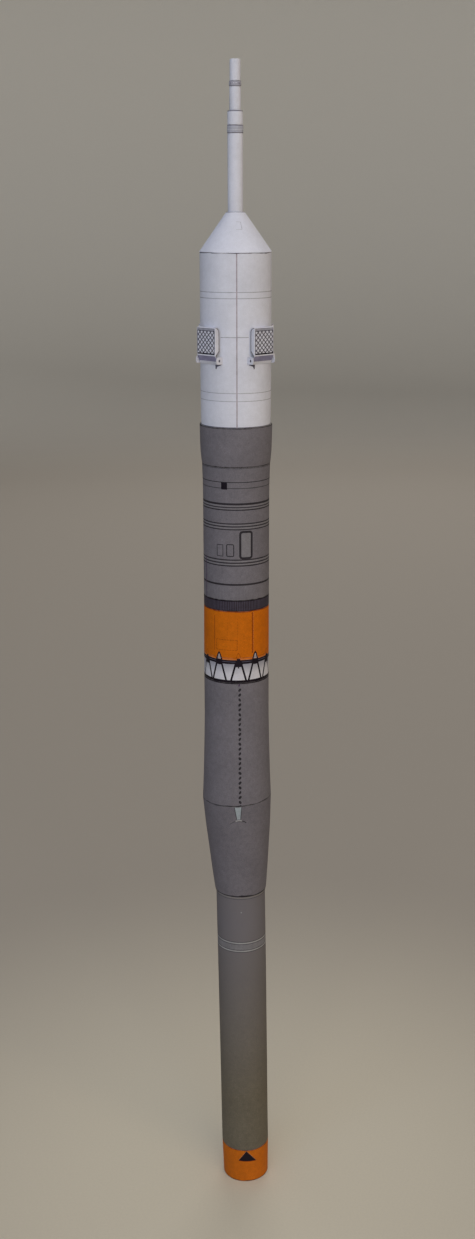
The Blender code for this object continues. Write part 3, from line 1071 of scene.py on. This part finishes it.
def bend(along, start, radius, turn):
    # where a strip of paper goes that is folded at start: how far on, and how far down
    arc = radius * turn
    past = along - (start - arc / 2.0)
    angle = np.clip(past, 0.0, arc) / radius
    on = np.where(past < 0.0, along, start - arc / 2.0 + radius * np.sin(angle))
    down = np.where(past < 0.0, 0.0, radius * (1.0 - np.cos(angle)))
    beyond = np.maximum(past - arc, 0.0)
    return on + beyond * cos(turn), down + beyond * sin(turn)


def makeFin(number, stack, low):
    node = f"Grid_Fin_{number}"
    points = toLocal(stack, nodePoints(node))
    middle = points.mean(axis=0)
    azimuth = atan2(middle[0], -middle[1])
    outward = np.array((sin(azimuth), -cos(azimuth), 0.0))
    across = np.array((cos(azimuth), sin(azimuth), 0.0))
    faceRadius = (points @ outward).max()
    backRadius = (points @ outward).min()
    half = np.abs(points @ across).max()
    top, lipFoot = points[:, 2].max(), points[:, 2].min()
    bottom = points[np.abs(points @ outward - faceRadius) < 0.05][:, 2].min()
    height = top - bottom
    lean = atan2(faceRadius - backRadius, bottom - lipFoot)
    lip = (bottom - lipFoot) / cos(lean) + 0.25
    flap, depth = fin["flapDepth"], fin["cornerDepth"]

    # the flat net, round from the lip: right flap, top flap, left flap
    rightFlap = [(half, -0.2), (half + 0.35, -0.2), (half + flap, fin["chamfer"]), (half + flap, height - fin["cornerHeight"])]
    for step in (1, 2, 3, 4, 5, 6):
        angle = radians(90.0 * step / 6)
        rightFlap.append((half + flap - depth * (1.0 - cos(angle)), height - fin["cornerHeight"] * (1.0 - sin(angle))))
    rightFlap.append((half, height))
    topFlap = [(half - 0.25, height + 0.3), (half - 0.45, height + fin["topDepth"] * 0.72),
               (half * 0.5, height + fin["topDepth"] * 0.93), (0.0, height + fin["topDepth"])]
    topLeft = [(-x, y) for x, y in reversed(topFlap[:-1])]
    leftFlap = [(-x, y) for x, y in reversed(rightFlap)]
    outline = [(-half + 0.05, -lip), (half - 0.05, -lip)] + rightFlap + topFlap + topLeft + leftFlap

    def place(x, y):
        side, sideDown = bend(np.abs(x), half, fin["foldRadius"], pi / 2.0)
        up, topDown = bend(y, height, fin["foldRadius"], pi / 2.0)
        down, lipDown = bend(-y, 0.0, fin["foldRadius"] * 2.0, lean)
        rise = np.where(y < height / 2.0, -down, up)
        inward = sideDown + topDown + lipDown - fin["bow"] * np.cos(np.clip(x / half, -1, 1) * pi / 2) * np.cos(np.clip(2 * y / height - 1, -1, 1) * pi / 2)
        spots = outward[None, :] * (faceRadius - inward)[:, None] + across[None, :] * (side * np.sign(x))[:, None]
        spots = spots + np.array((0.0, 0.0, 1.0))[None, :] * (bottom + rise)[:, None]
        matrix = np.array(stack)
        return spots @ matrix[:3, :3].T + matrix[:3, 3]

    margin, latticeLow, latticeHigh = fin["latticeBox"]
    left, right = -half + margin, half - margin
    lipMargin, lipHigh, lipLow = fin["lipBox"]
    # the lip's upper part is painted blue-grey shade, as of white card turned down out of the light
    marks = [bar("shadeBlue", -half + lipMargin, half - lipMargin, -lipLow, -lipHigh),
             bar("greyLine", left, right, *fin["bandBox"])]
    bandLow, bandHigh = fin["bandBox"]
    marks += stroke("midLine", [(left, bandLow), (left, bandHigh), (right, bandHigh), (right, bandLow)], 0.18)
    pitch = fin["latticePitch"] * 2.0 ** 0.5
    reach = latticeHigh - latticeLow
    start = left - reach
    while start < right:
        for slope in (1, -1):
            foot = (start, latticeLow) if slope > 0 else (start + reach, latticeLow)
            end = (foot[0] + slope * reach, latticeHigh)
            longer = ((foot[0] - slope, foot[1] - 1.0), (end[0] + slope, end[1] + 1.0))
            for ink, shape in stroke("latticeInk", longer, fin["latticeWidth"]):
                shape = clipped(shape, left, right, latticeLow, latticeHigh)
                if shape:
                    marks.append((ink, shape))
        start += pitch
    marks += stroke("latticeInk", roundedBox(left, right, latticeLow, latticeHigh, 0.1, 1), fin["frameWidth"], closed=True)
    marks.append(bar("blackInk", left, right, latticeLow - fin["frameWidth"] / 2.0, latticeLow + fin["footWidth"]))
    # a printed line along each side flap's edge, widened by painted shadow from the gap behind the flap
    for side in (1, -1):
        edge = [(side * (x - 0.22), y) for x, y in rightFlap[1:-1]]
        marks += stroke("softLine", edge, fin["flapLine"])

    sheet = {
        "paper": "finCard",
        "thickness": fin["thickness"],
        "outline": outline,
        "columns": sorted({round(side * (half + away), 3) for side in (-1, 1) for away in (-0.3, -0.15, 0.0, 0.15, 0.3)}
                          | set(np.linspace(-half + 0.6, half - 0.6, 9).round(3))),
        "rows": sorted({round(-lip, 3), -2.0, -0.3, -0.15, 0.0, 0.15, 0.3}
                       | {round(height + away, 3) for away in (-0.3, -0.15, 0.0, 0.15, 0.3)}
                       | set(np.linspace(1.2, height - 1.2, 7).round(3))),
        "folds": lambda x, y: 0.7 * np.maximum(np.exp(-((np.abs(x) - half) / 0.12) ** 2),
                                               np.maximum(np.exp(-(y / 0.12) ** 2), np.exp(-((y - height) / 0.12) ** 2))),
    }
    mesh = makeSheet(node + "_Card", sheet, marks, place)
    addPiece(node + "_Card", mesh, node)


def makeEar(node, stack, low):
    points = toLocal(stack, nodePoints(node))
    owner = toLocal(stack, nodePoints("Grid_Fin_" + node[8])).mean(axis=0)
    azimuth = atan2(owner[0], -owner[1])
    outward = np.array((sin(azimuth), -cos(azimuth), 0.0))
    across = np.array((cos(azimuth), sin(azimuth), 0.0))
    offsets = points @ across
    side = 1.0 if offsets.mean() > 0.0 else -1.0
    face = offsets.max() if side > 0.0 else offsets.min()
    front = (points @ outward).max()
    bottom, top = points[:, 2].min(), points[:, 2].max()
    back, corner = ear["reach"], ear["corner"]
    shape = [(back, bottom), (front - corner, bottom)]
    shape += [(front - corner + corner * sin(radians(step * 22.5)), bottom + corner - corner * cos(radians(step * 22.5)))
              for step in (1, 2, 3, 4)]
    shape += [(front, top - corner), (front - corner * 0.8, top), (back, top)]
    flatways = [(-side * x, y) for x, y in shape]
    outline = flatways if side < 0.0 else list(reversed(flatways))

    def place(x, y):
        inward = face - side * 0.06 * np.clip((np.abs(x) - back) / (front - back), 0, 1) ** 2
        spots = outward[None, :] * np.abs(x)[:, None] + across[None, :] * (inward + 0.0 * x)[:, None]
        spots = spots + np.array((0.0, 0.0, 1.0))[None, :] * y[:, None]
        matrix = np.array(stack)
        return spots @ matrix[:3, :3].T + matrix[:3, 3]

    radius, height = ear["dot"]
    marks = [blob("latticeInk", -side * radius, height - low, *ear["dotSize"], steps=12)]
    sheet = {
        "paper": "finCard",
        "thickness": ear["thickness"],
        "outline": outline,
        "columns": sorted((-side * np.linspace(back + 0.5, front - 0.5, 4)).tolist()),
        "rows": np.linspace(bottom + 0.5, top - 0.5, 5).tolist(),
        "backing": "finCard",
    }
    mesh = makeSheet(node + "_Card", sheet, marks, place)
    addPiece(node + "_Card", mesh, node)


def makeFins():
    form = readForm("Fairing_Tube")
    for number in (1, 2, 3, 4):
        makeFin(number, form["foot"], form["at"])
        for side in "AB":
            makeEar(f"Fin_Ear_{number}{side}", form["foot"], form["at"])


# everything in order, from the table up

makeBase()
makeLowerTube()
makeWaistCone()
makeUpperTube()
print("core rolled")
makeTrussBand()
makeSkirt()
makeFlutedBand()
makeStage()
makeAdapter()
print("stage rolled")
makeFairing()
makeCone()
makeTower()
print("fairing and tower rolled")
makeFins()
print("fins folded")

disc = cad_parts["Base_Disc"]
for slot in disc.material_slots:
    slot.material = inkMaterial("boardCard")


# floor, light and camera

studio = {
    # floorColour is the lit floor inside the painted pool of light
    "floorColour": (0.62, 0.555, 0.43),
    "farColour": (0.325, 0.283, 0.233),
    "wallColour": (0.90, 0.87, 0.80),
    "lightPoolRadius": (0.02, 0.34),       # a painted pool of light: the floor is palest inside the first, and has the far tone past the second
    "wallFrom": (1.9, 3.3),           # between these distances the far tone turns into the wall's
    "glow": 0.05,                     # the paint's own light, as of a thin screen lit from behind
    "floorRadius": 2.3,
    "coveRadius": 0.8,
    "wallHeight": 1.7,
    "worldColour": (0.90, 0.93, 1.0),
    "worldStrength": 0.04,
}


def makeStudio():
    shape = bmesh.new()
    profile = [(0.0, 0.0), (0.3, 0.0), (0.8, 0.0), (1.6, 0.0), (studio["floorRadius"], 0.0)]
    for step in range(1, 13):
        angle = radians(90.0 * step / 12)
        profile.append((studio["floorRadius"] + studio["coveRadius"] * sin(angle), studio["coveRadius"] * (1.0 - cos(angle))))
    profile.append((studio["floorRadius"] + studio["coveRadius"], studio["wallHeight"]))
    line = [shape.verts.new((radius, 0.0, height)) for radius, height in profile]
    edges = [shape.edges.new(pair) for pair in zip(line, line[1:])]
    bmesh.ops.spin(shape, geom=line + edges, cent=(0, 0, 0), axis=(0, 0, 1), angle=2.0 * pi, steps=96, use_duplicate=False)
    bmesh.ops.remove_doubles(shape, verts=shape.verts, dist=1e-5)
    bmesh.ops.recalc_face_normals(shape, faces=shape.faces)
    mesh = bpy.data.meshes.new("Studio_Floor")
    shape.to_mesh(mesh)
    shape.free()
    mesh.shade_smooth()
    floor = bpy.data.objects.new("Studio_Floor", mesh)
    bpy.context.scene.collection.objects.link(floor)
    floor.location.z = -0.00005
    material = bpy.data.materials.new("studioPaint")
    material.use_nodes = True
    tree = material.node_tree
    shader = tree.nodes["Principled BSDF"]
    coordinates = tree.nodes.new("ShaderNodeTexCoord").outputs["Object"]
    away = tree.nodes.new("ShaderNodeVectorMath")
    away.operation = "LENGTH"
    tree.links.new(coordinates, away.inputs[0])
    # painted pool of light: the floor's pale colour round the foot fades to the far tone
    near, far = studio["lightPoolRadius"]
    share = mapTo(tree, away.outputs["Value"], near, far, 0.0, 1.0)
    share.node.interpolation_type = "SMOOTHSTEP"
    tone = mixColours(tree, share, studio["floorColour"], studio["farColour"])
    beyond = mapTo(tree, away.outputs["Value"], *studio["wallFrom"], 0.0, 1.0)
    beyond.node.interpolation_type = "SMOOTHSTEP"
    tone = mixColours(tree, beyond, tone, studio["wallColour"])
    speckle = mapTo(tree, noiseNode(tree, coordinates, 900.0, 3.0), 0.3, 0.7, 0.0, 0.06)
    tree.links.new(mixColours(tree, speckle, tone, (0.2, 0.18, 0.15)), shader.inputs["Base Color"])
    shader.inputs["Roughness"].default_value = 0.9
    shader.inputs["Specular IOR Level"].default_value = 0.1
    shader.inputs["Emission Color"].default_value = (*studio["wallColour"], 1.0)
    shader.inputs["Emission Strength"].default_value = studio["glow"]
    mesh.materials.append(material)


lamps = {
    "Front": {"from": (0.0, -1.9, 1.1), "size": 1.4, "power": 12.1, "colour": (0.97, 1.0, 1.0)},
    "Front_Left": {"from": (-1.1, -1.6, 1.0), "size": 1.2, "power": 5.0, "colour": (0.35, 0.60, 1.0)},
    "Front_Right": {"from": (1.1, -1.6, 1.0), "size": 1.2, "power": 8.3, "colour": (1.0, 0.79, 0.52)},
    "Top": {"from": (0.0, -0.2, 2.2), "size": 1.4, "power": 11.8, "colour": (0.95, 0.95, 1.0)},
    "Back": {"from": (0.3, 1.9, 1.3), "size": 1.4, "power": 12.0, "colour": (0.98, 0.98, 1.0)},
}
lampTarget = Vector((0.0, 0.0, 0.26))


def makeLamps():
    for name, look in lamps.items():
        lamp = bpy.data.lights.new(name, "AREA")
        lamp.size = look["size"]
        lamp.energy = look["power"]
        lamp.color = look["colour"]
        holder = bpy.data.objects.new(name, lamp)
        holder.location = look["from"]
        holder.rotation_euler = (lampTarget - Vector(look["from"])).to_track_quat("-Z", "Y").to_euler()
        holder.visible_camera = False
        bpy.context.scene.collection.objects.link(holder)
    world = bpy.data.worlds.new("Studio_Air")
    world.use_nodes = True
    background = world.node_tree.nodes["Background"]
    background.inputs["Color"].default_value = (*studio["worldColour"], 1.0)
    background.inputs["Strength"].default_value = studio["worldStrength"]
    bpy.context.scene.world = world


camera = {
    "location": (0.000707, -0.609, 0.4417),
    "pitch": 15.55,        # degrees down
    "roll": 1.024,
    "lens": 42.8,
    "sensor": 36.0,        # over the picture's height
}


def makeCamera():
    lens = bpy.data.cameras.new("Camera")
    lens.sensor_fit = "VERTICAL"
    lens.sensor_height = camera["sensor"]
    lens.sensor_width = camera["sensor"]
    lens.lens = camera["lens"]
    lens.clip_start = 0.01
    lens.clip_end = 20.0
    holder = bpy.data.objects.new("Camera", lens)
    turn = Matrix.Rotation(radians(90.0 - camera["pitch"]), 4, "X") @ Matrix.Rotation(-radians(camera["roll"]), 4, "Z")
    holder.matrix_world = Matrix.Translation(camera["location"]) @ turn
    bpy.context.scene.collection.objects.link(holder)
    bpy.context.scene.camera = holder


makeStudio()
makeLamps()
makeCamera()
bpy.context.scene.view_settings.view_transform = "Standard"
print("studio set")
